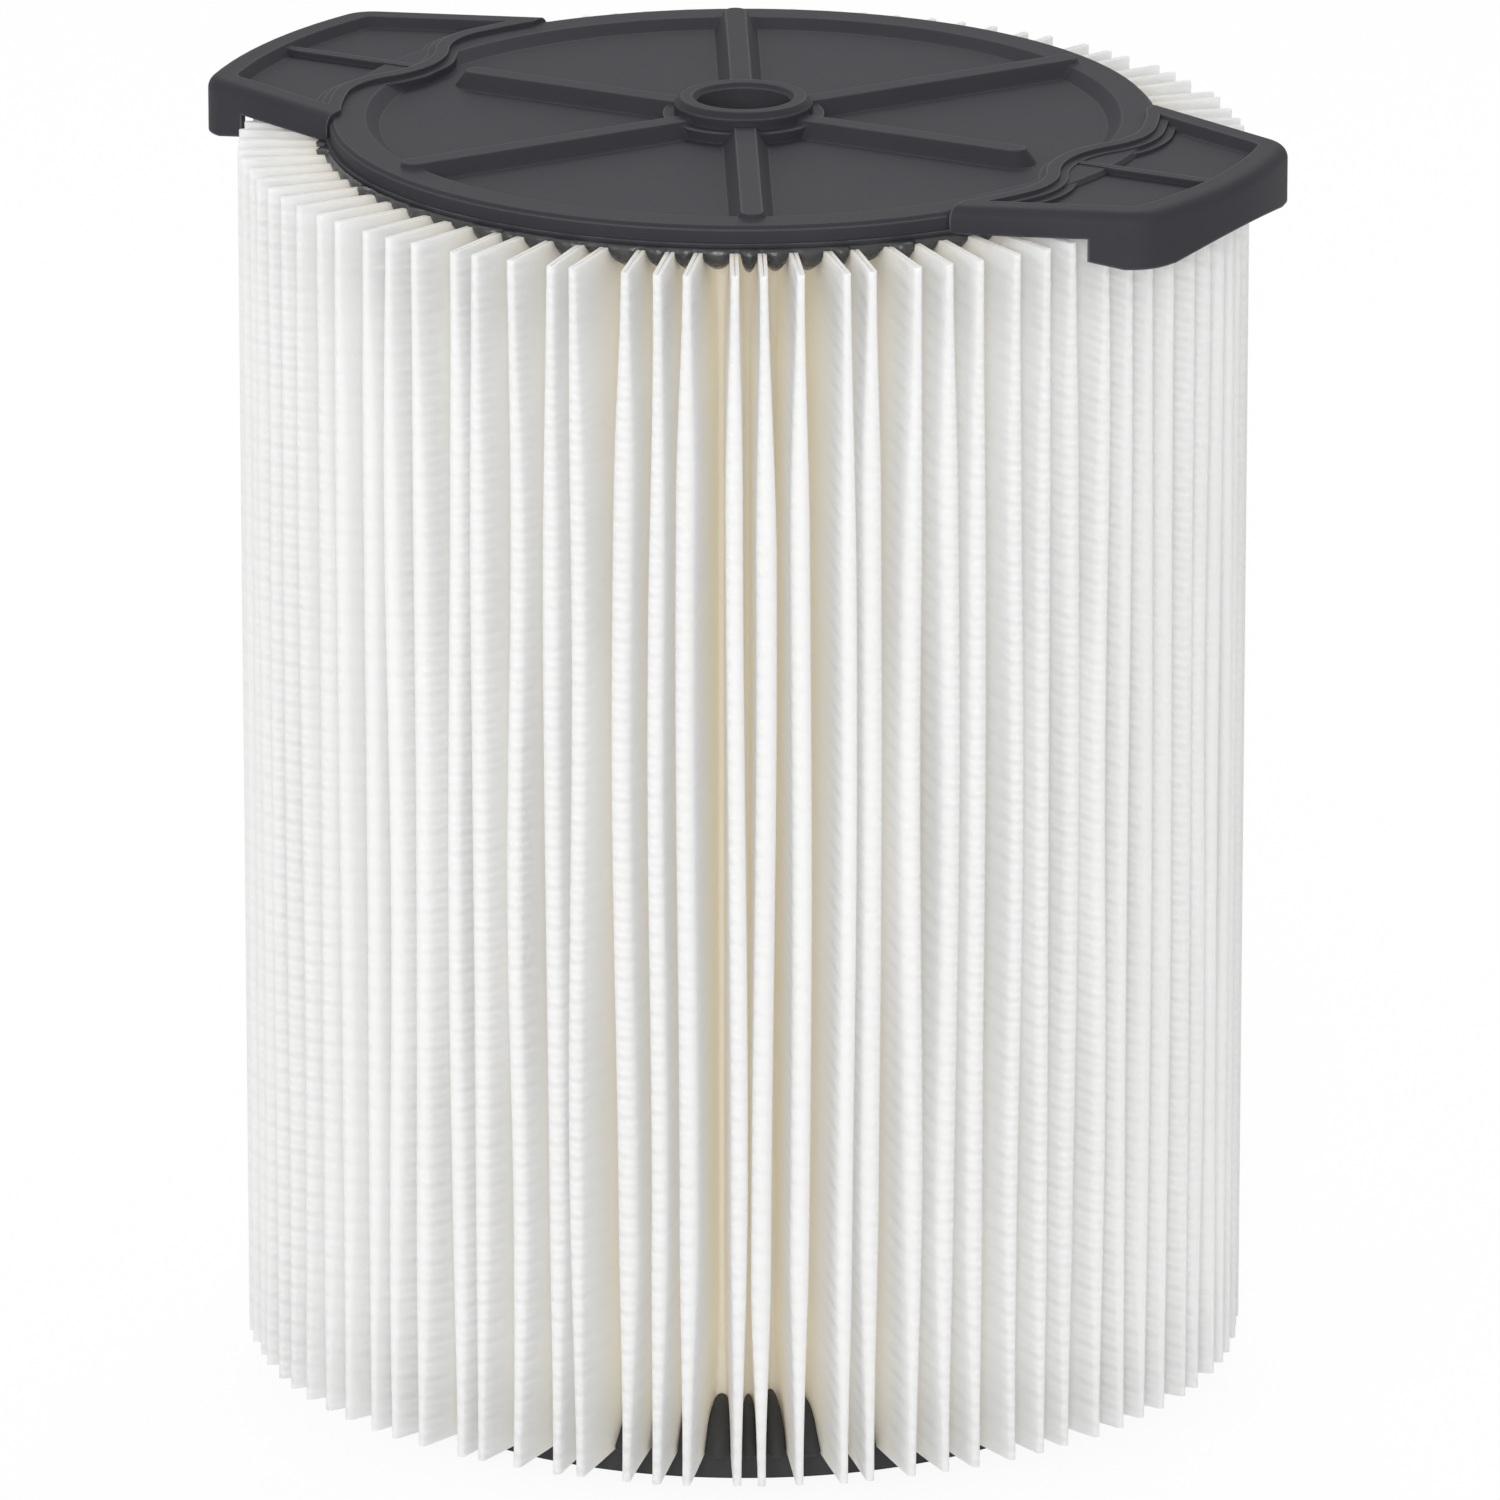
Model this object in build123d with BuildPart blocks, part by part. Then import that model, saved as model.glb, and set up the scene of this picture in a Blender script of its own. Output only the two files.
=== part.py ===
"""Pleated cartridge filter: a folded paper pack bonded between a moulded cap with two pull tabs and a rubber ring."""

import os
from math import asin, atan2, cos, degrees, hypot, radians, sin, sqrt

from build123d import *

# Pleated pack, all lengths in millimetres
pleat_count = 86
pleat_radius = 84.0  # the axis to the outer folds
pleat_depth = 27.0
media_height = 207.0
sheet = 0.6  # thickness of the filter paper
outer_fold = 1.1  # rounding of the outer folds, outside
inner_fold = 0.95  # rounding of the inner folds, outside
outer_flat_count = 2  # flats that make one rounded outer fold
inner_flat_count = 1  # flats that make one rounded inner fold
tip_wander = 0.2  # how far a fold leans sideways, as a share of the pitch

# Bonding compound at both ends
bond_layer = 0.6  # between the folds and the cap
bond_depth = 4.6  # how far it hangs down the folds at the cap
bond_spread = 1.4  # how far it is squeezed out past the cap's edge
bond_slope = 5.2  # how far its outer face draws back on the way down the folds
bond_rise = 7.6  # how far it stands up the folds at the ring
bond_overlap = 3.5  # how far it reaches inside the folds

# Rubber ring at the open end
ring_inset = 19.5  # the outer folds to the ring's edge
ring_height = 5.6
ring_wall = 2.0
ring_floor = 2.4
collar_wall = 3.0
collar_height = 9.0
seal_lead = 1.4  # bevel at the mouth of the seal

# Cap plate
cap_inset = 15.4  # the outer folds to the rim
plate = 1.9
rim_step = 1.7  # the rim over the plate
rim_width = 5.9
rim_slope = 2.4  # width of the slope from the rim to the plate
rim_edge = 0.7
lip_width = 0.6  # the bead along the foot of the rim
lip_height = 0.8

# Hub
stud_bore = 15.6
hub_wall = 3.7
hub_height = 4.9
hub_edge = 1.1
bore_edge = 0.8
foot_width = 1.9  # the step round the foot of the hub
foot_height = 2.0

# Ribs
rib_count = 6
rib_base = 7.4
rib_top = 3.4
rib_height = 2.7
rib_inset = 1.8  # the cap's edge to the ends of the ribs
tab_rib_inset = 14.1  # the cap's edge to the ends of the two ribs that point at the tabs

# Pull tabs
tab_overhang = 8.4  # how far a tab reaches past the folds
tab_root_half = 37.0
tab_root_inset = 10.3  # the cap's edge to where the root half width is taken
tab_tip_half = 25.6
tab_corner = 7.5
tab_rise = 0.9  # the tab over the rim
tab_edge = 2.2
tab_skirt = 9.4  # depth of the skirt from the tab's top
skirt_wall = 2.6
skirt_gap = 0.6  # the folds to the skirt's inner ends
skirt_lift = 2.4  # how far the skirt's lower edge rises towards its inner ends
skirt_run = 12.0  # length of that rise
arch_half = 19.0  # the lower edge of the skirt is arched on the tab's axis
arch_rise = 1.5
tab_border = 6.2  # round the finger hollow
hollow_depth = 1.9
hollow_slope = 35.0  # degrees that the hollow's walls lean outwards
ridge_inset = 3.2  # the cap's edge to the raised ridge across the tab's root
ridge_width = 3.6
ridge_ledge = 1.3  # the step on the ridge's inner side, level with the rim
swell_radius = 22.0  # the ridge bends inwards on the tab's axis
swell_depth = 10.6  # the cap's edge to the innermost point of the bend
swell_blend = 13.0  # rounding on both sides of the bend
step_count = 2  # low steps from the ridge into the hollow
step_width = 1.4
spine_width = 1.8  # the rib along the middle of the hollow
spine_height = 1.2

# Sizes, levels and angles that follow
valley_radius = pleat_radius - pleat_depth
bond_bore = valley_radius - bond_overlap
seal_radius = bond_bore - collar_wall
ring_radius = pleat_radius - ring_inset
cap_radius = pleat_radius - cap_inset
bond_radius = cap_radius + bond_spread
rim_inner = cap_radius - rim_width
hub_radius = stud_bore / 2 + hub_wall
tab_reach = pleat_radius + tab_overhang
ridge_inner = cap_radius - ridge_inset
swell_centre = cap_radius - swell_depth + swell_radius
pack_base = ring_height
pack_top = pack_base + media_height
cap_base = pack_top + bond_layer
plate_top = cap_base + plate
rim_top = plate_top + rim_step
tab_top = rim_top + tab_rise
hollow_floor = tab_top - hollow_depth
skirt_base = tab_top - tab_skirt
rise_end = sqrt(tab_reach**2 - tab_tip_half**2) - tab_corner / 2
pitch = 360 / pleat_count


def polar(radius, angle):
    """A point at a radius and an angle in degrees."""
    return Vector(radius, 0).rotate(Axis.Z, angle)


def round_points(centre, radius, first, last, flats):
    """Corners of the flats that wrap a rounded fold, from one flank to the next."""
    step = (last - first) / (flats + 1)
    corner = radius / cos(radians(step / 2))
    return [centre + polar(corner, first + step * (k + 1 / 2)) for k in range(flats + 1)]


def tip_angle(i):
    """Angle of one outer fold: the folds are free to lean, so they stand unevenly."""
    lean = 0.55 * sin(2.4 * i + 0.7) + 0.45 * sin(4.1 * i)
    return pitch * (i + tip_wander * lean)


def turn(tip, valley, tip_round, valley_round, side):
    """Angle at which the sheet leaves a fold, square to the flank shared with the next fold."""
    across = valley - tip
    slant = degrees(asin((tip_round + valley_round) / hypot(across.X, across.Y)))
    return degrees(atan2(across.Y, across.X)) + side * (90 - slant)


def fold_points(tip_round, valley_round):
    """Closed zigzag of one face of the sheet."""
    points = []
    for i in range(pleat_count):
        tip = polar(pleat_radius - outer_fold, tip_angle(i))
        following = polar(pleat_radius - outer_fold, tip_angle((i + 1) % pleat_count))
        before = polar(valley_radius + inner_fold, pitch * (i - 1 / 2))
        after = polar(valley_radius + inner_fold, pitch * (i + 1 / 2))
        first = turn(tip, before, tip_round, valley_round, 1)
        last = turn(tip, after, tip_round, valley_round, -1)
        first += 360 * round((pitch * i - 90 - first) / 360)
        last += 360 * round((pitch * i + 90 - last) / 360)
        points += round_points(tip, tip_round, first, last, outer_flat_count)
        leave = turn(following, after, tip_round, valley_round, 1) + 180
        leave += 360 * round((last - leave) / 360)
        points += round_points(after, valley_round, last + 180, leave, inner_flat_count)
    return points


def tab_plan(inset):
    """Plan of both pull tabs, drawn narrower by an inset all round."""
    reach = tab_reach - inset
    root = Vector(cap_radius - tab_root_inset, tab_root_half)
    along = (Vector(sqrt(tab_reach**2 - tab_tip_half**2), tab_tip_half) - root).normalized()
    start = root + Vector(along.Y, -along.X) * inset
    middle = start.dot(along)
    end = start + along * (sqrt(middle**2 + reach**2 - start.length**2) - middle)
    with BuildSketch() as plan:
        with BuildLine():
            Line((start.X, -start.Y), start)
            Line(start, end)
            ThreePointArc(end, (reach, 0), (end.X, -end.Y))
            Line((end.X, -end.Y), (start.X, -start.Y))
        make_face()
        fillet(plan.vertices().sort_by(Axis.X)[-2:], tab_corner - inset)
        mirror(about=Plane.YZ)
    return plan.sketch


def ridge_plan(offset):
    """Inner bound of a tab: round with the cap, bent inwards on the tab's axis, and moved outwards by an offset."""
    with BuildSketch() as plan:
        Circle(ridge_inner + offset)
        with Locations((swell_centre, 0), (-swell_centre, 0)):
            Circle(swell_radius - offset, mode=Mode.SUBTRACT)
        fillet(plan.vertices(), swell_blend + offset)
    return plan.sketch


with BuildPart() as pleated_media:
    with BuildSketch(Plane.XY.offset(pack_base)):
        with BuildLine():
            Polyline(*fold_points(outer_fold, inner_fold), close=True)
        make_face()
        with BuildLine():
            Polyline(*fold_points(outer_fold - sheet, inner_fold + sheet), close=True)
        make_face(mode=Mode.SUBTRACT)
    extrude(amount=media_height)

with BuildSketch() as folds:
    with BuildLine():
        Polyline(*fold_points(outer_fold, inner_fold), close=True)
    make_face()

with BuildPart() as top_bond:
    with BuildSketch(Plane.XY.offset(pack_top)):
        RegularPolygon(bond_radius, pleat_count)
    extrude(amount=-bond_depth, taper=degrees(atan2(bond_slope, bond_depth)))
    with BuildSketch(Plane.XY.offset(pack_top)):
        add(folds.sketch)
    extrude(amount=-bond_depth, mode=Mode.SUBTRACT)
    with BuildSketch(Plane.XY.offset(pack_top)):
        RegularPolygon(bond_radius, pleat_count)
        Circle(bond_bore, mode=Mode.SUBTRACT)
    extrude(amount=bond_layer)

with BuildPart() as seal_ring:
    with BuildSketch(Plane.XZ):
        with BuildLine():
            Polyline(
                (seal_radius + seal_lead, 0),
                (ring_radius, 0),
                (ring_radius, ring_height),
                (ring_radius - ring_wall, ring_height),
                (ring_radius - ring_wall, ring_floor),
                (bond_bore, ring_floor),
                (bond_bore, collar_height),
                (seal_radius, collar_height),
                (seal_radius, seal_lead),
                close=True,
            )
        make_face()
    revolve(axis=Axis.Z)

with BuildPart() as bottom_bond:
    with BuildSketch(Plane.XY.offset(ring_floor)):
        RegularPolygon(ring_radius - ring_wall, pleat_count)
        Circle(bond_bore, mode=Mode.SUBTRACT)
    extrude(amount=pack_base - ring_floor)
    with BuildSketch(Plane.XY.offset(pack_base)):
        RegularPolygon(ring_radius, pleat_count)
        add(folds.sketch, mode=Mode.SUBTRACT)
    extrude(amount=bond_rise)

with BuildPart() as hollows:
    with BuildSketch(Plane.XY.offset(hollow_floor)):
        add(tab_plan(tab_border))
    extrude(amount=hollow_depth, taper=-hollow_slope)
    with BuildSketch(Plane.XY.offset(hollow_floor)):
        add(ridge_plan(ridge_width))
    extrude(amount=hollow_depth, mode=Mode.SUBTRACT)

with BuildPart() as tabs:
    with BuildSketch(Plane.XY.offset(cap_base)):
        add(tab_plan(0))
        add(ridge_plan(0), mode=Mode.SUBTRACT)
    extrude(amount=tab_top - cap_base)
    fillet(
        tabs.edges()
        .group_by(Axis.Z)[-1]
        .filter_by(lambda edge: hypot((edge @ 0.5).X, (edge @ 0.5).Y) > cap_radius),
        tab_edge,
    )
    with BuildSketch(Plane.XY.offset(rim_top)):
        add(ridge_plan(ridge_ledge))
    extrude(amount=tab_rise, mode=Mode.SUBTRACT)
    add(hollows.part, mode=Mode.SUBTRACT)
    for i in range(step_count):
        with BuildSketch(Plane.XY.offset(hollow_floor)):
            add(ridge_plan(ridge_width + step_width * (i + 1)))
            add(ridge_plan(ridge_width / 2), mode=Mode.SUBTRACT)
            add(tab_plan(tab_border / 2), mode=Mode.INTERSECT)
        extrude(amount=hollow_depth * (1 - (i + 1) / (step_count + 1)))
    with BuildSketch(Plane.XY.offset(hollow_floor)):
        Rectangle(2 * (tab_reach - tab_border / 2), spine_width)
        add(ridge_plan(ridge_width / 2), mode=Mode.SUBTRACT)
    extrude(amount=spine_height)
    with BuildSketch(Plane.XY.offset(cap_base)):
        add(tab_plan(0))
        add(tab_plan(skirt_wall), mode=Mode.SUBTRACT)
        Circle(pleat_radius + skirt_gap, mode=Mode.SUBTRACT)
    extrude(amount=skirt_base - cap_base)
    with BuildSketch(Plane.XZ):
        with BuildLine():
            Polyline(
                (rise_end, skirt_base),
                (rise_end - skirt_run, skirt_base),
                (rise_end - skirt_run, skirt_base + skirt_lift),
                close=True,
            )
        make_face()
        mirror(about=Plane.YZ)
    extrude(amount=tab_root_half, both=True, mode=Mode.SUBTRACT)
    with BuildSketch(Plane.YZ):
        with BuildLine():
            ThreePointArc((-arch_half, skirt_base), (0, skirt_base + arch_rise), (arch_half, skirt_base))
            Line((arch_half, skirt_base), (-arch_half, skirt_base))
        make_face()
    extrude(amount=tab_reach, both=True, mode=Mode.SUBTRACT)

with BuildPart() as end_cap:
    with BuildSketch(Plane.XZ):
        with BuildLine():
            Polyline(
                (0, cap_base),
                (cap_radius + lip_width, cap_base),
                (cap_radius + lip_width, cap_base + lip_height),
                (cap_radius, cap_base + lip_height),
                (cap_radius, rim_top),
                (rim_inner, rim_top),
                (rim_inner - rim_slope, plate_top),
                (hub_radius + foot_width, plate_top),
                (hub_radius + foot_width, plate_top + foot_height),
                (hub_radius, plate_top + foot_height),
                (hub_radius, plate_top + hub_height),
                (0, plate_top + hub_height),
                close=True,
            )
        make_face()
    revolve(axis=Axis.Z)
    rim_edges = end_cap.edges().filter_by_position(Axis.Z, rim_top, rim_top)
    chamfer(rim_edges.sort_by(SortBy.RADIUS)[-1], rim_edge)
    chamfer(end_cap.edges().group_by(Axis.Z)[-1], hub_edge)
    for i in range(rib_count):
        on_tab_axis = 2 * i % rib_count == 0
        reach = cap_radius - (tab_rib_inset if on_tab_axis else rib_inset)
        with BuildSketch(Plane.XY.offset(plate_top).rotated((0, 0, 360 * i / rib_count))):
            SlotCenterPoint((reach / 2 - rib_base / 4, 0), (reach - rib_base / 2, 0), rib_base)
        extrude(amount=rib_height, taper=degrees(atan2((rib_base - rib_top) / 2, rib_height)))
    add(tabs.part)
    with BuildSketch(Plane.XY.offset(cap_base)):
        Circle(stud_bore / 2)
    extrude(amount=plate + hub_height, mode=Mode.SUBTRACT)
    chamfer(end_cap.edges().group_by(Axis.Z)[-1].sort_by(SortBy.RADIUS)[0], bore_edge)

os.makedirs("parts", exist_ok=True)

end_cap.part.label = "end_cap"
export_step(end_cap.part, "parts/end_cap.step")

top_bond.part.label = "top_bond"
export_step(top_bond.part, "parts/top_bond.step")

pleated_media.part.label = "pleated_media"
export_step(pleated_media.part, "parts/pleated_media.step")

bottom_bond.part.label = "bottom_bond"
export_step(bottom_bond.part, "parts/bottom_bond.step")

seal_ring.part.label = "seal_ring"
export_step(seal_ring.part, "parts/seal_ring.step")
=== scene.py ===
import math

import bpy
import numpy as np
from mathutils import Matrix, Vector


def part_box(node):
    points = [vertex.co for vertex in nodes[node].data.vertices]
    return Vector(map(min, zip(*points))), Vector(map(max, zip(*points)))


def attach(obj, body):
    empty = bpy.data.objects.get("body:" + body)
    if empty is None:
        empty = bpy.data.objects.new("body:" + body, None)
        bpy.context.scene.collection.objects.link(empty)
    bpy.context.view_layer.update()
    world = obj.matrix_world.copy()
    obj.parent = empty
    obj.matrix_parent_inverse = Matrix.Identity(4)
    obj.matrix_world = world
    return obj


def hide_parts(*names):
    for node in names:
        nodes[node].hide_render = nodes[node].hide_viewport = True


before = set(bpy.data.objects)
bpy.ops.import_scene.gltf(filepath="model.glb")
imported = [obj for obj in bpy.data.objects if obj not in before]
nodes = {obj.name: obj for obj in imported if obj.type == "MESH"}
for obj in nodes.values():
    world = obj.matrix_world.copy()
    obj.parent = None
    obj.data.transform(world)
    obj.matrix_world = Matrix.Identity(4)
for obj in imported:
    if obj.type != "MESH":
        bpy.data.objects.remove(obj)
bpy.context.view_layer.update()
scene = bpy.context.scene

MM = 0.001
TURN = 2 * math.pi
rng = np.random.default_rng(7)

# Sizes shared with the CAD part, in millimetres
PLEATS = 86
TIP_R = 84.0
VALLEY_R = 57.0
VALLEY_ROUND = 0.95
SHEET = 0.6
BOND_BORE = 53.5
BOND_R = 70.0
BOND_LAYER = 0.6
RING_R = 64.5
RING_TOP = 5.6
RING_FLOOR = 2.4
RING_WALL = 2.0
pack_low, pack_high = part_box("pleated_media")
Z0 = pack_low.z / MM
Z1 = pack_high.z / MM
PITCH = TURN / PLEATS

# The folds' uneven spacing, as in the CAD part, in shares of a pitch
TIP_WANDER = 0.2
SLOW_SHARE, SLOW_STEP, SLOW_START = 0.55, 2.4, 0.7
FAST_SHARE, FAST_STEP = 0.45, 4.1

# How the paper stands, in millimetres
PINCH_RUN = (34, 60)  # how far from an end a fold stands fully open, least and most
ROOT_PINCHED = 0.75  # half a fold's width at its root, at the ends
ROOT_OPENING = 0.8  # what it gains away from the ends
ROOT_RUN = 20.0
END_RUN = 60.0  # the stretch at each end with closer rows of points

# Where the points of a fold stand
VALLEY_DEGREES = (30, 65)
FLANK = (0.12, 0.38, 0.66, 0.9)  # shares of the way from valley to tip
TIP_STEPS = 6
END_ROWS, MIDDLE_ROWS, INNER_ROWS = 16, 14, 5

# Drops of compound between the folds, in millimetres
GAP_STEPS = 10
SKIN = 0.02  # keeps touching faces apart
TOP_FILM = 0.4
TOP_WIDTH = 0.8  # share of a gap that a drop fills
TOP_BEVEL, TOP_LIP = 0.5, 0.2
TOP_FACE = ((0.3, 0.3), (1.5, 0.7), (4.0, 1.0))  # back from the edge, share of the drop
FOOT_FILM = 0.3
FOOT_WIDTH = 0.85
FOOT_REACH = 6.5
FOOT_INNER = 0.3  # from the valleys' radius to the drop's inner shoulder
# back from the ring's edge, share of the reach, share of the rise
FOOT_FACE = ((2.2, 0.0, 1.0), (0.5, 0.2, 0.8), (0.0, 0.5, 0.45), (0.0, 1.0, 0.1))
FOOT_UNDER = 0.95  # share of the reach at the underside


# Meshes


def smooth(x):
    x = np.clip(x, 0.0, 1.0)
    return x * x * (3 - 2 * x)


def band(a, b, n):
    """Quads from one closed row of n points to another, given each row's first point."""
    return [(a + j, a + (j + 1) % n, b + (j + 1) % n, b + j) for j in range(n)]


def smooth_mesh(name, verts, faces):
    mesh = bpy.data.meshes.new(name)
    mesh.from_pydata(verts.tolist(), [], faces)
    mesh.polygons.foreach_set("use_smooth", np.ones(len(mesh.polygons), bool))
    return mesh


def add_object(name, data):
    obj = bpy.data.objects.new(name, data)
    scene.collection.objects.link(obj)
    return obj


def add_piece(mesh, replaced):
    mesh.update()
    obj = add_object(mesh.name, mesh)
    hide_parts(replaced)
    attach(obj, "root")
    return obj


# Filter paper: one closed zigzag, pinched at both ends and open in the middle

index = np.arange(PLEATS)
wander = SLOW_SHARE * np.sin(SLOW_STEP * index + SLOW_START) + FAST_SHARE * np.sin(FAST_STEP * index)
tip_angle = PITCH * (index + TIP_WANDER * wander)
base_angle = PITCH * index
open_half = rng.uniform(1.25, 1.7, PLEATS)
pinch_half = rng.uniform(0.63, 0.71, PLEATS)
pinch_run_low = rng.uniform(*PINCH_RUN, PLEATS)
pinch_run_high = rng.uniform(*PINCH_RUN, PLEATS)
sway_amp = rng.uniform(0.1, 0.55, PLEATS)
sway_len = rng.uniform(110, 260, PLEATS)
sway_phase = rng.uniform(0, TURN, PLEATS)
tip_in = rng.uniform(-0.1, 0.45, PLEATS)


def section(z, inset):
    """Points of one face of the sheet at a height, fold after fold."""
    opened = smooth((z - Z0) / pinch_run_low) * smooth((Z1 - z) / pinch_run_high)
    half = pinch_half + (open_half - pinch_half) * opened
    reach = TIP_R - tip_in - half
    sway = sway_amp * np.sin(TURN * z / sway_len + sway_phase)
    lean = tip_angle - base_angle + sway / TIP_R
    tip_round = half - inset
    away = smooth((z - Z0) / ROOT_RUN) * smooth((Z1 - z) / ROOT_RUN)
    outer_round = PITCH * (VALLEY_R + VALLEY_ROUND) / 2 - ROOT_PINCHED - ROOT_OPENING * away
    valley_mid = VALLEY_R + outer_round
    half_pitch = PITCH * valley_mid / 2
    valley_round = outer_round + inset
    valley_half = half_pitch - valley_round
    # each column has its radius, its way to the side and its share of the lean
    columns = []
    for degree in VALLEY_DEGREES:
        a = math.radians(degree)
        r = valley_mid - valley_round * math.cos(a)
        columns.append((r, valley_round * math.sin(a) - half_pitch, 0.0))
    for share in FLANK:
        r = valley_mid + (reach - valley_mid) * share
        columns.append((r, -(valley_half + (tip_round - valley_half) * share), share))
    rising = len(columns)
    for k in range(TIP_STEPS + 1):
        a = math.pi * k / TIP_STEPS - math.pi / 2
        columns.append((reach + tip_round * math.cos(a), tip_round * math.sin(a), 1.0))
    columns += [(r, -side, share) for r, side, share in reversed(columns[:rising])]
    table = np.zeros((PLEATS, len(columns), 3))
    for j, (r, side, share) in enumerate(columns):
        angle = base_angle + lean * share + side / r
        table[:, j, 0] = r * np.cos(angle)
        table[:, j, 1] = r * np.sin(angle)
        table[:, j, 2] = z
    return table.reshape(-1, 3)


def lay_out(mesh, heights, row):
    """UVs in metres, along the sheet and up it, for the embossing."""
    n = len(row)
    steps = np.linalg.norm(np.roll(row, -1, axis=0) - row, axis=1)
    run = np.concatenate([[0.0], np.cumsum(steps)]) * MM
    loops = np.zeros(len(mesh.loops), np.int32)
    mesh.loops.foreach_get("vertex_index", loops)
    column = loops % n
    along = run[column]
    # every face has four corners, and those past the last column close the sheet
    corners = column.reshape(-1, 4)
    closing = (corners.min(1) == 0) & (corners.max(1) == n - 1)
    along[(closing[:, None] & (corners == 0)).ravel()] = run[-1]
    layer = mesh.uv_layers.new(name="sheet")
    uvs = np.stack([along, heights[loops]], 1).astype(np.float32)
    layer.data.foreach_set("uv", uvs.ravel())


def build_media():
    low_end = np.linspace(Z0, Z0 + END_RUN, END_ROWS)
    between = np.linspace(Z0 + END_RUN, Z1 - END_RUN, MIDDLE_ROWS)
    high_end = np.linspace(Z1 - END_RUN, Z1, END_ROWS)
    rows_out = np.unique(np.concatenate([low_end, between, high_end]))
    inner_low = np.linspace(Z0, Z0 + END_RUN, INNER_ROWS)
    inner_high = np.linspace(Z1 - END_RUN, Z1, INNER_ROWS)
    rows_in = np.unique(np.concatenate([inner_low, inner_high]))
    outer = [section(z, 0.0) for z in rows_out]
    inner = [section(z, SHEET) for z in rows_in]
    # the cut ends have points of their own, so that they stay sharp
    ends = [inner[0], outer[0], outer[-1], inner[-1]]
    verts = np.concatenate(outer + inner + ends) * MM
    n = len(outer[0])
    starts = list(range(0, len(verts), n))
    starts_out = starts[: len(outer)]
    starts_in = starts[len(outer) : -len(ends)]
    low_in, low_out, high_out, high_in = starts[-len(ends) :]
    faces = band(low_in, low_out, n) + band(high_out, high_in, n)
    for a, b in zip(starts_out, starts_out[1:]):
        faces += band(a, b, n)
    for a, b in zip(starts_in, starts_in[1:]):
        faces += band(b, a, n)
    mesh = smooth_mesh("pleated_paper", verts, faces)
    lay_out(mesh, verts[:, 2], outer[len(outer) // 2])
    return add_piece(mesh, "pleated_media")


paper = build_media()


# Bonding compound: rings that the folds stand in, swelling between them

lobe_depth = rng.uniform(3.6, 4.6, PLEATS)
lobe_out = rng.uniform(-0.4, 1.5, PLEATS)
lobe_rise = rng.uniform(6.4, 7.6, PLEATS)


def swell(across, width):
    return np.sqrt(np.clip(1 - (across / width) ** 2, 0.0, 1.0))


def top_profile(gap, across):
    """Drops that hang between the folds under the cap."""
    full = swell(across, TOP_WIDTH)
    drop = TOP_FILM + (lobe_depth[gap] - TOP_FILM) * full
    edge = BOND_R + lobe_out[gap] * full
    under_cap = Z1 + BOND_LAYER - SKIN
    points = [(BOND_BORE, under_cap), (edge - TOP_BEVEL, under_cap), (edge, Z1 + TOP_LIP)]
    points += [(edge - back, Z1 - share * drop) for back, share in TOP_FACE]
    points.append((BOND_BORE, Z1 - TOP_FILM))
    return points


def bottom_profile(gap, across):
    """Drops that stand up between the folds in the ring's trough and over its edge."""
    full = swell(across, FOOT_WIDTH)
    rise = FOOT_FILM + (lobe_rise[gap] - FOOT_FILM) * full
    out = FOOT_REACH * full
    trough_r = RING_R - RING_WALL
    trough_z = RING_FLOOR + SKIN
    points = [(BOND_BORE, RING_TOP + FOOT_FILM), (VALLEY_R + FOOT_INNER, RING_TOP + rise)]
    for back, reach, lift in FOOT_FACE:
        points.append((RING_R - back + reach * out, RING_TOP + lift * rise))
    points.append((RING_R + FOOT_UNDER * out, RING_TOP + SKIN))
    points += [(trough_r, RING_TOP), (trough_r, trough_z), (BOND_BORE, trough_z)]
    return points


def build_bond(name, profile):
    """Ring from a closed profile that changes on the way across each gap."""
    gap = np.repeat(index, GAP_STEPS)
    share = np.tile(np.arange(GAP_STEPS) / GAP_STEPS, PLEATS)
    start = tip_angle[gap]
    end = np.roll(tip_angle, -1)[gap] + TURN * (gap == PLEATS - 1)
    angle = start + (end - start) * share
    points = profile(gap, np.abs(2 * share - 1))
    level = np.zeros(len(angle))
    rings = [np.stack([r * np.cos(angle), r * np.sin(angle), z + level], 1) for r, z in points]
    n = len(angle)
    starts = list(range(0, len(rings) * n, n))
    faces = []
    for a, b in zip(starts, starts[1:] + starts[:1]):
        # the profiles run clockwise, so each face is turned over
        faces += [(p, s, r, q) for p, q, r, s in band(a, b, n)]
    mesh = smooth_mesh(name + "_ring", np.concatenate(rings) * MM, faces)
    return add_piece(mesh, name)


top_ring = build_bond("top_bond", top_profile)
bottom_ring = build_bond("bottom_bond", bottom_profile)


# Materials, with lengths in metres

RIPPLE = 0.0034  # from ridge to ridge of the embossing, up the sheet
RIPPLE_SLOPE = 0.1
DIMPLE = 0.011  # from dimple to dimple, along the sheet
DIMPLE_SHARE = 0.3
EMBOSS_DEPTH = 0.00024
VALLEY_EMBOSS = 0.15  # share of the embossing's depth that the valleys have
EMBOSS_FALL = 3.0
CREAM_R, WHITE_R = 0.060, 0.080
# painted shade: the cream given to the valleys stands in for the warm light caught between the folds
VALLEY_SHADE_CREAM = (0.985, 0.943, 0.845)
WHITE = (0.974, 0.975, 0.972)
FIBRE_SCALE = 900.0
FIBRE_SHARE = 0.25
SHINE_THROUGH = 0.5
MATT = 0.9
CLOUD_SCALE = 60.0
ROUGH_SPREAD = 0.05
GRAIN_STRENGTH = 0.25
# painted highlight: a paler grey laid into the colour along outer edges
EDGE_HIGHLIGHT_GREY = (0.17, 0.17, 0.185)
HIGHLIGHT_FROM, HIGHLIGHT_TO = 0.98, 0.8  # cosines of the turn of the normal at a rounded edge
FREE_FROM, FREE_TO = 0.7, 0.95  # how open the space beside an edge is
HIGHLIGHT_CORNER_DISTANCE = 0.0015
EDGE_SAMPLES = 4


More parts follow.
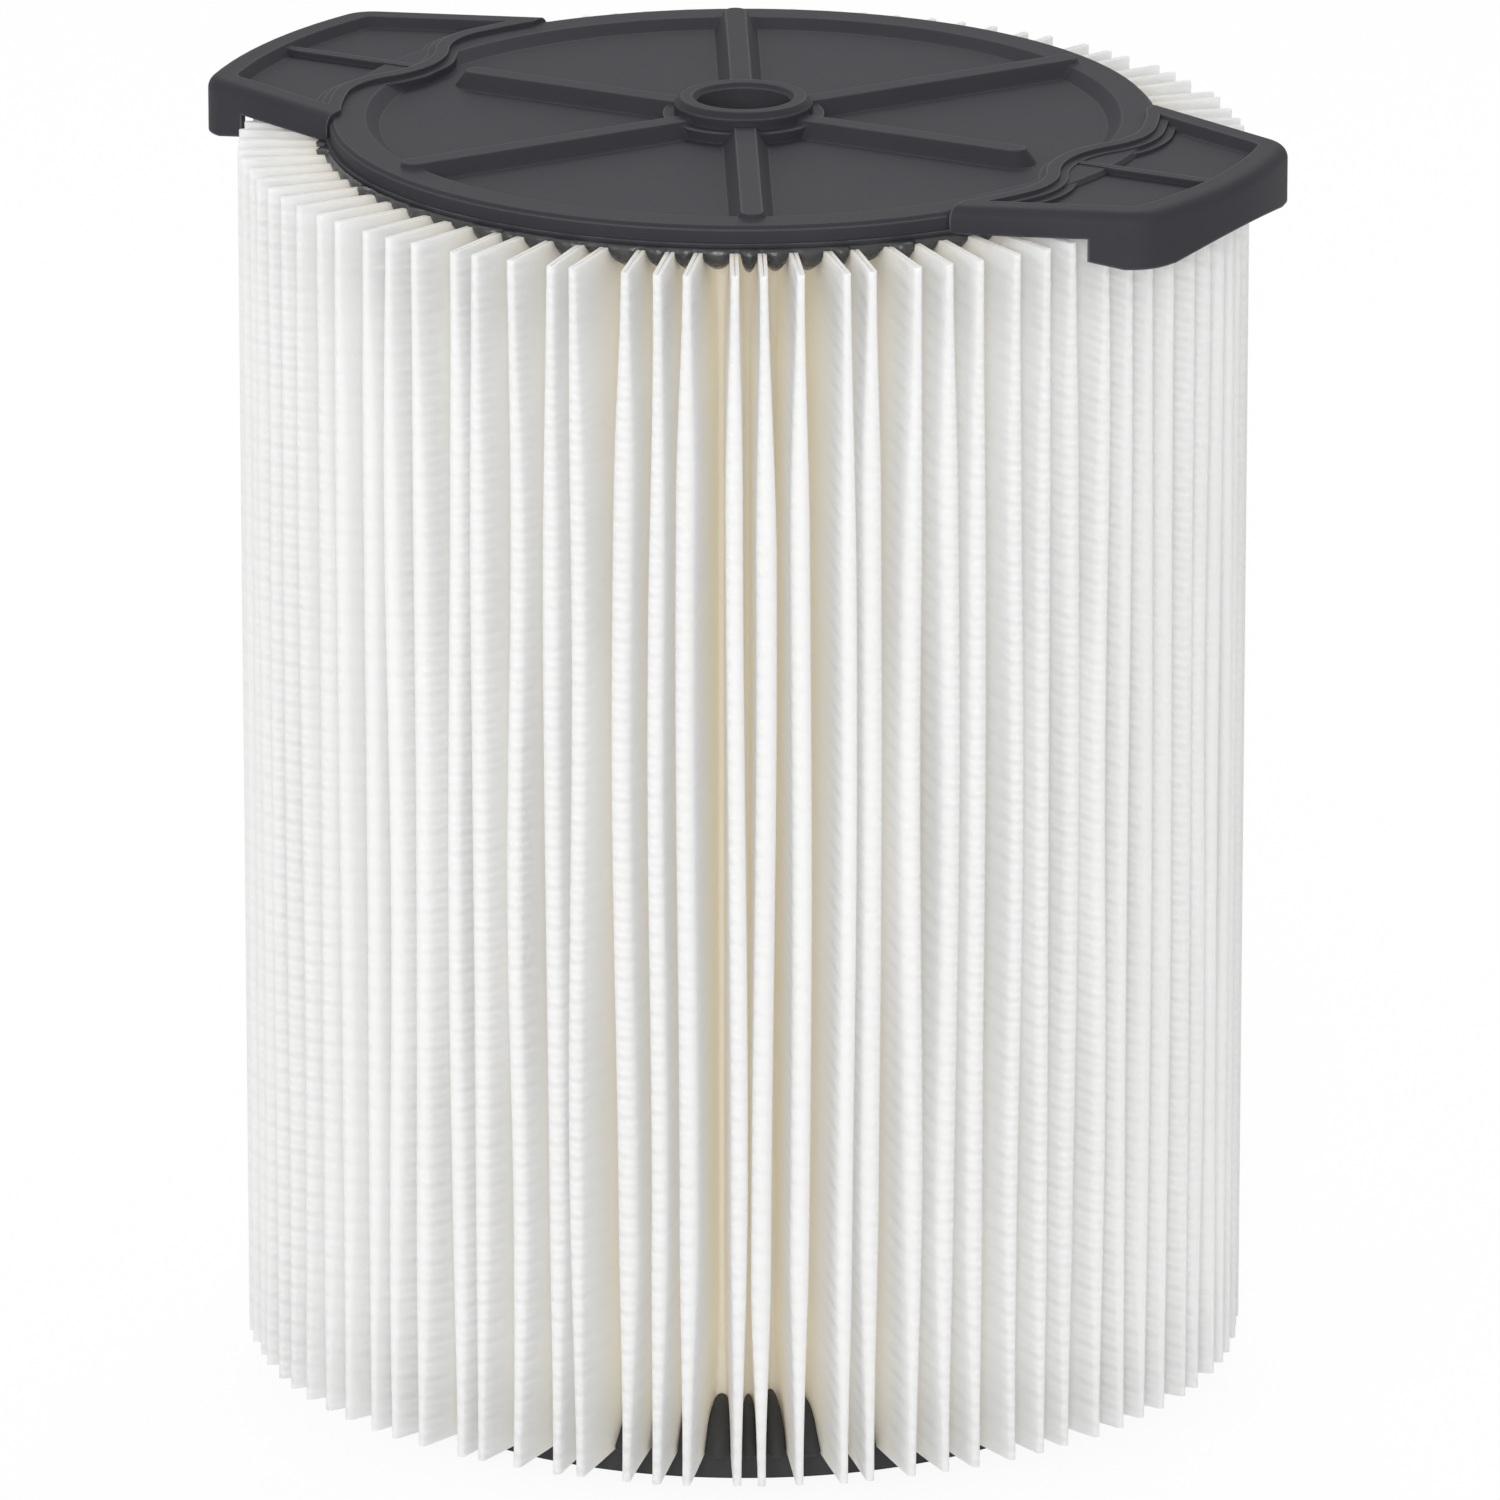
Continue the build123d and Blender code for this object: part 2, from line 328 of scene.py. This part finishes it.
def node(tree, kind, **values):
    """New node: its own settings by name, and the values of its inputs."""
    n = tree.nodes.new(kind)
    for key, value in values.items():
        if hasattr(n, key):
            setattr(n, key, value)
        else:
            n.inputs[key].default_value = value
    return n


def math_node(tree, operation, *values):
    n = node(tree, "ShaderNodeMath", operation=operation)
    for socket, value in zip(n.inputs, values):
        if isinstance(value, float):
            socket.default_value = value
        else:
            tree.links.new(value, socket)
    return n.outputs[0]


def map_range(tree, value, start=0.0, end=1.0, low=0.0, high=1.0):
    n = node(tree, "ShaderNodeMapRange")
    for socket, limit in (("From Min", start), ("From Max", end), ("To Min", low), ("To Max", high)):
        n.inputs[socket].default_value = limit
    tree.links.new(value, n.inputs["Value"])
    return n.outputs["Result"]


def colour_ramp(tree, value, first, last):
    n = node(tree, "ShaderNodeValToRGB")
    for element, colour in zip(n.color_ramp.elements, (first, last)):
        element.color = (*colour, 1)
    tree.links.new(value, n.inputs["Fac"])
    return n.outputs["Color"]


def mix_shaders(tree, first, second, share, out):
    """Link a mix of two shaders to the output, by a number or by another node."""
    n = node(tree, "ShaderNodeMixShader")
    if isinstance(share, float):
        n.inputs[0].default_value = share
    else:
        tree.links.new(share, n.inputs[0])
    tree.links.new(first.outputs[0], n.inputs[1])
    tree.links.new(second.outputs[0], n.inputs[2])
    tree.links.new(n.outputs[0], out.inputs["Surface"])


def material(name):
    mat = bpy.data.materials.new(name)
    mat.use_nodes = True
    tree = mat.node_tree
    tree.nodes.clear()
    out = node(tree, "ShaderNodeOutputMaterial")
    shader = node(tree, "ShaderNodeBsdfPrincipled")
    tree.links.new(shader.outputs["BSDF"], out.inputs["Surface"])
    return mat, tree, shader, out


def wave(tree, value, length):
    return math_node(tree, "SINE", math_node(tree, "MULTIPLY", value, TURN / length))


def share_and_rest(tree, value, share):
    """The value times a share, plus what is left of 1."""
    return math_node(tree, "ADD", math_node(tree, "MULTIPLY", value, share), 1 - share)


def paper_material():
    mat, tree, shader, out = material("filter_paper")
    links = tree.links
    uv = node(tree, "ShaderNodeUVMap", uv_map="sheet")
    sheet = node(tree, "ShaderNodeSeparateXYZ")
    links.new(uv.outputs["UV"], sheet.inputs[0])
    place = node(tree, "ShaderNodeTexCoord")
    flat = node(tree, "ShaderNodeVectorMath", operation="MULTIPLY")
    flat.inputs[1].default_value = (1, 1, 0)
    links.new(place.outputs["Object"], flat.inputs[0])
    radius = node(tree, "ShaderNodeVectorMath", operation="LENGTH")
    links.new(flat.outputs["Vector"], radius.inputs[0])
    outward = map_range(tree, radius.outputs["Value"], CREAM_R, WHITE_R)
    # soft ripples, nearly level, broken into dimples along the sheet
    slope = math_node(tree, "MULTIPLY", sheet.outputs["X"], RIPPLE_SLOPE)
    ripples = wave(tree, math_node(tree, "ADD", sheet.outputs["Y"], slope), RIPPLE)
    dimples = share_and_rest(tree, wave(tree, sheet.outputs["X"], DIMPLE), DIMPLE_SHARE)
    emboss = math_node(tree, "MULTIPLY", ripples, dimples)
    # pressed deepest at the outer folds
    fall = math_node(tree, "POWER", outward, EMBOSS_FALL)
    depth = share_and_rest(tree, fall, 1 - VALLEY_EMBOSS)
    emboss = math_node(tree, "MULTIPLY", emboss, depth)
    fibre = node(tree, "ShaderNodeTexNoise", Scale=FIBRE_SCALE, Detail=0.0)
    links.new(place.outputs["Object"], fibre.inputs["Vector"])
    grain = math_node(tree, "MULTIPLY", fibre.outputs["Fac"], FIBRE_SHARE)
    bump = node(tree, "ShaderNodeBump", Strength=1.0, Distance=EMBOSS_DEPTH)
    links.new(math_node(tree, "ADD", emboss, grain), bump.inputs["Height"])
    # painted shade: white at the outer folds, turning cream down in the valleys, for the warm light
    # caught between the folds
    colour = colour_ramp(tree, outward, VALLEY_SHADE_CREAM, WHITE)
    shader.inputs["Roughness"].default_value = MATT
    shader.inputs["Specular IOR Level"].default_value = 0.0
    # thin paper lets light through
    through = node(tree, "ShaderNodeBsdfTranslucent")
    for surface, tint in ((shader, "Base Color"), (through, "Color")):
        links.new(colour, surface.inputs[tint])
        links.new(bump.outputs["Normal"], surface.inputs["Normal"])
    mix_shaders(tree, shader, through, SHINE_THROUGH, out)
    return mat


def painted_edge_highlight(tree, colour, rounded, edge_highlight):
    """Painted highlight: colour made paler along the outer edges, not in the corners."""
    links = tree.links
    surface = node(tree, "ShaderNodeNewGeometry")
    turn = node(tree, "ShaderNodeVectorMath", operation="DOT_PRODUCT")
    links.new(surface.outputs["Normal"], turn.inputs[0])
    links.new(rounded, turn.inputs[1])
    edge_share = map_range(tree, turn.outputs["Value"], HIGHLIGHT_FROM, HIGHLIGHT_TO)
    around_it = node(tree, "ShaderNodeAmbientOcclusion", samples=EDGE_SAMPLES, Distance=HIGHLIGHT_CORNER_DISTANCE)
    free = map_range(tree, around_it.outputs["AO"], FREE_FROM, FREE_TO)
    amount = math_node(tree, "MULTIPLY", math_node(tree, "MULTIPLY", edge_share, free), edge_highlight)
    highlight_mix = node(tree, "ShaderNodeMix", data_type="RGBA")
    links.new(amount, highlight_mix.inputs["Factor"])
    links.new(colour, highlight_mix.inputs["A"])
    highlight_mix.inputs["B"].default_value = (*EDGE_HIGHLIGHT_GREY, 1)
    return highlight_mix.outputs["Result"]


def black_material(name, low, high, rough, gloss, grain_scale, grain_depth, edge, edge_highlight=0.0):
    mat, tree, shader, _ = material(name)
    links = tree.links
    place = node(tree, "ShaderNodeTexCoord")
    cloud = node(tree, "ShaderNodeTexNoise", Scale=CLOUD_SCALE, Detail=3.0)
    links.new(place.outputs["Object"], cloud.inputs["Vector"])
    colour = colour_ramp(tree, cloud.outputs["Fac"], low, high)
    uneven = map_range(tree, cloud.outputs["Fac"], low=rough - ROUGH_SPREAD, high=rough + ROUGH_SPREAD)
    links.new(uneven, shader.inputs["Roughness"])
    shader.inputs["Specular IOR Level"].default_value = gloss
    grain = node(tree, "ShaderNodeTexNoise", Scale=grain_scale, Detail=2.0)
    links.new(place.outputs["Object"], grain.inputs["Vector"])
    bump = node(tree, "ShaderNodeBump", Strength=GRAIN_STRENGTH, Distance=grain_depth)
    links.new(grain.outputs["Fac"], bump.inputs["Height"])
    # moulded edges are slightly round
    rounded = node(tree, "ShaderNodeBevel", samples=EDGE_SAMPLES, Radius=edge)
    links.new(rounded.outputs["Normal"], bump.inputs["Normal"])
    links.new(bump.outputs["Normal"], shader.inputs["Normal"])
    # painted highlight along the outer edges
    if edge_highlight:
        colour = painted_edge_highlight(tree, colour, rounded.outputs["Normal"], edge_highlight)
    links.new(colour, shader.inputs["Base Color"])
    return mat


def cap_plastic():
    return black_material(
        "cap_plastic",
        low=(0.032, 0.0315, 0.038),
        high=(0.0425, 0.0415, 0.049),
        rough=0.55,
        gloss=0.07,
        grain_scale=1400.0,
        grain_depth=0.00006,
        edge=0.0006,
        edge_highlight=0.9,
    )


def glossy_bond():
    return black_material(
        "bond",
        low=(0.028, 0.028, 0.030),
        high=(0.042, 0.042, 0.044),
        rough=0.25,
        gloss=0.6,
        grain_scale=420.0,
        grain_depth=0.0009,
        edge=0.0008,
    )


def dull_black(name, edge):
    return black_material(
        name,
        low=(0.042, 0.042, 0.043),
        high=(0.054, 0.054, 0.055),
        rough=0.6,
        gloss=0.15,
        grain_scale=900.0,
        grain_depth=0.0001,
        edge=edge,
    )


looks = (
    (paper, paper_material()),
    (nodes["end_cap"], cap_plastic()),
    (top_ring, glossy_bond()),
    (bottom_ring, dull_black("bond_foot", edge=0.0008)),
    (nodes["seal_ring"], dull_black("ring_rubber", edge=0.0006)),
)
for obj, mat in looks:
    obj.data.materials.clear()
    obj.data.materials.append(mat)


# Floor and world, white to the camera

FLOOR_HALF = 6.0
FLOOR_Z = -0.0003
FLOOR_GREY = 0.92
FLOOR_WHITE = 0.92  # share of plain white that the camera sees in the floor
FILL = 0.72


def build_floor():
    corners = [(-1, -1), (1, -1), (1, 1), (-1, 1)]
    mesh = bpy.data.meshes.new("floor")
    points = [(x * FLOOR_HALF, y * FLOOR_HALF, FLOOR_Z) for x, y in corners]
    mesh.from_pydata(points, [], [(0, 1, 2, 3)])
    floor = add_object("floor", mesh)
    mat, tree, shader, out = material("floor")
    shader.inputs["Base Color"].default_value = (FLOOR_GREY, FLOOR_GREY, FLOOR_GREY, 1)
    shader.inputs["Roughness"].default_value = MATT
    path = node(tree, "ShaderNodeLightPath")
    glow = node(tree, "ShaderNodeEmission", Color=(1, 1, 1, 1), Strength=1.0)
    seen = math_node(tree, "MULTIPLY", path.outputs["Is Camera Ray"], FLOOR_WHITE)
    mix_shaders(tree, shader, glow, seen, out)
    mesh.materials.append(mat)


def build_world():
    world = bpy.data.worlds.new("studio")
    scene.world = world
    world.use_nodes = True
    tree = world.node_tree
    tree.nodes.clear()
    out = node(tree, "ShaderNodeOutputWorld")
    path = node(tree, "ShaderNodeLightPath")
    white = node(tree, "ShaderNodeBackground", Color=(1, 1, 1, 1), Strength=1.0)
    fill = node(tree, "ShaderNodeBackground", Color=(1, 1, 1, 1), Strength=FILL)
    mix_shaders(tree, fill, white, path.outputs["Is Camera Ray"], out)
    return world


build_floor()
world = build_world()


# Lamps and camera, placed from the photo's direction

AZIMUTH = math.radians(28.73)
ELEVATION = math.radians(17.63)
DISTANCE = 2.6146
FOCAL = 10.38825  # the lens's focal length, in widths of the picture
SENSOR = 36.0
CAMERA_RIGHT, CAMERA_UP, CAMERA_Z = 0.00107, -0.00078, 0.10709
MIDDLE_Z, CAP_Z = 0.11, 0.21

right = Vector((math.cos(AZIMUTH), math.sin(AZIMUTH), 0))
front = Vector((math.sin(AZIMUTH), -math.cos(AZIMUTH), 0))
vertical = Vector((0, 0, 1))
middle = vertical * MIDDLE_Z
cap = vertical * CAP_Z


def turn_to(obj, direction):
    obj.rotation_mode = "QUATERNION"
    obj.rotation_quaternion = direction.to_track_quat("-Z", "Y")


def area_light(name, sideways, forward, height, aim, size, power):
    lamp = bpy.data.lights.new(name, "AREA")
    lamp.shape = "RECTANGLE"
    lamp.size, lamp.size_y = size
    lamp.energy = power
    obj = add_object(name, lamp)
    obj.location = right * sideways + front * forward + vertical * height
    turn_to(obj, aim - obj.location)


def build_camera():
    optics = bpy.data.cameras.new("camera")
    optics.sensor_width = SENSOR
    optics.lens = SENSOR * FOCAL
    optics.clip_start = 0.05
    optics.clip_end = 50.0
    camera = add_object("camera", optics)
    scene.camera = camera
    back = front * math.cos(ELEVATION) + vertical * math.sin(ELEVATION)
    up = back.cross(right)
    target = right * CAMERA_RIGHT + up * CAMERA_UP + vertical * CAMERA_Z
    camera.location = target + back * DISTANCE
    turn_to(camera, -back)


area_light("key", sideways=-1.1, forward=1.2, height=0.9, aim=middle, size=(0.8, 0.8), power=4.0)
area_light("front", sideways=-0.1, forward=2.2, height=0.8, aim=middle, size=(0.45, 0.45), power=18.5)
area_light("top_back", sideways=0.1, forward=-0.7, height=0.9, aim=cap, size=(0.9, 0.5), power=3.5)
build_camera()


# Light that goes on between the folds is gathered close by after two bounces

GATHER_DISTANCE = 0.0008
cycles = scene.cycles
cycles.use_fast_gi = True
cycles.fast_gi_method = "REPLACE"
cycles.ao_bounces = 2
cycles.ao_bounces_render = 2
world.light_settings.distance = GATHER_DISTANCE

scene.view_settings.view_transform = "Standard"
